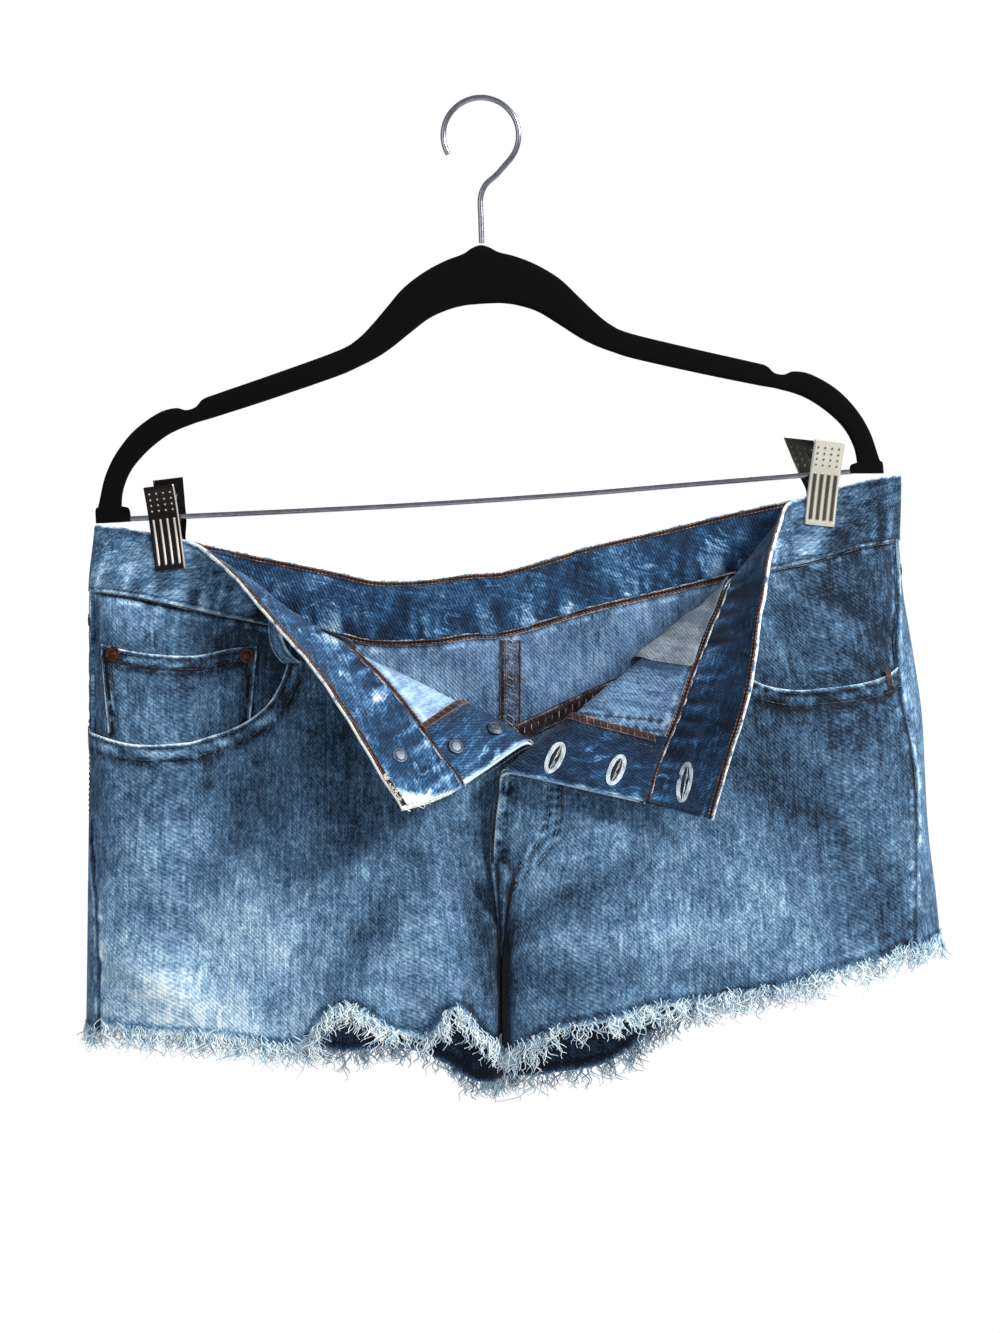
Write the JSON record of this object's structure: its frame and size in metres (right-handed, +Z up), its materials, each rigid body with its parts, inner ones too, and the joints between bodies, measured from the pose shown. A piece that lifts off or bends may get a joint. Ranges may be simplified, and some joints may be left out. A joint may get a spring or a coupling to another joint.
{
  "type": "denim shorts on a clip hanger",
  "caption": "Frayed denim shorts with an unbuttoned fly and the fronts folded open, hung by metal clips from a flocked hanger with a wire hook.",
  "frame": {"origin": "inside top of the hanger's hook, where the rail carries it", "axes": "+Z up; the shorts' front faces -Y; X runs along the hanger"},
  "size_m": [0.4894, 0.1048, 0.5852],
  "materials": {
    "denim": "washed blue twill denim, worn pale at seams and edges",
    "denim_inside": "dark indigo twill, matte",
    "pocket_cotton": "plain grey-white cotton",
    "frayed_yarn": "loose pale cotton yarn",
    "copper": "aged copper",
    "nickel": "polished nickel",
    "wire": "polished",
    "flock": "black flocking, matte"
  },
  "bodies": {
    "root": {"front_left": "denim", "front_right": "denim", "back_left": "denim", "back_right": "denim", "yoke_left": "denim", "yoke_right": "denim", "back_pocket_left": "denim", "back_pocket_right": "denim", "pocket_facing_left": "denim", "pocket_facing_right": "denim", "coin_pocket": "denim", "waistband": "denim", "belt_loop_front_left": "denim", "belt_loop_front_right": "denim", "belt_loop_back_left": "denim", "belt_loop_back_centre": "denim", "belt_loop_back_right": "denim", "button_stand": "denim_inside", "buttonhole_fly": "denim_inside", "pocket_bag_left": "pocket_cotton", "pocket_bag_right": "pocket_cotton", "fringe_front_left": "frayed_yarn", "fringe_front_right": "frayed_yarn", "fringe_back_left": "frayed_yarn", "fringe_back_right": "frayed_yarn", "waist_button": "copper", "fly_button_1": "copper", "fly_button_2": "copper", "rivet_1": "copper", "rivet_2": "copper", "waist_button_tack": "nickel", "fly_button_1_tack": "nickel", "fly_button_2_tack": "nickel", "clip_front_left": "nickel", "clip_back_left": "nickel", "clip_front_right": "nickel", "clip_back_right": "nickel", "hook": "wire", "hanger_rod": "wire", "hanger_body": "flock"}
  },
  "joints": []
}
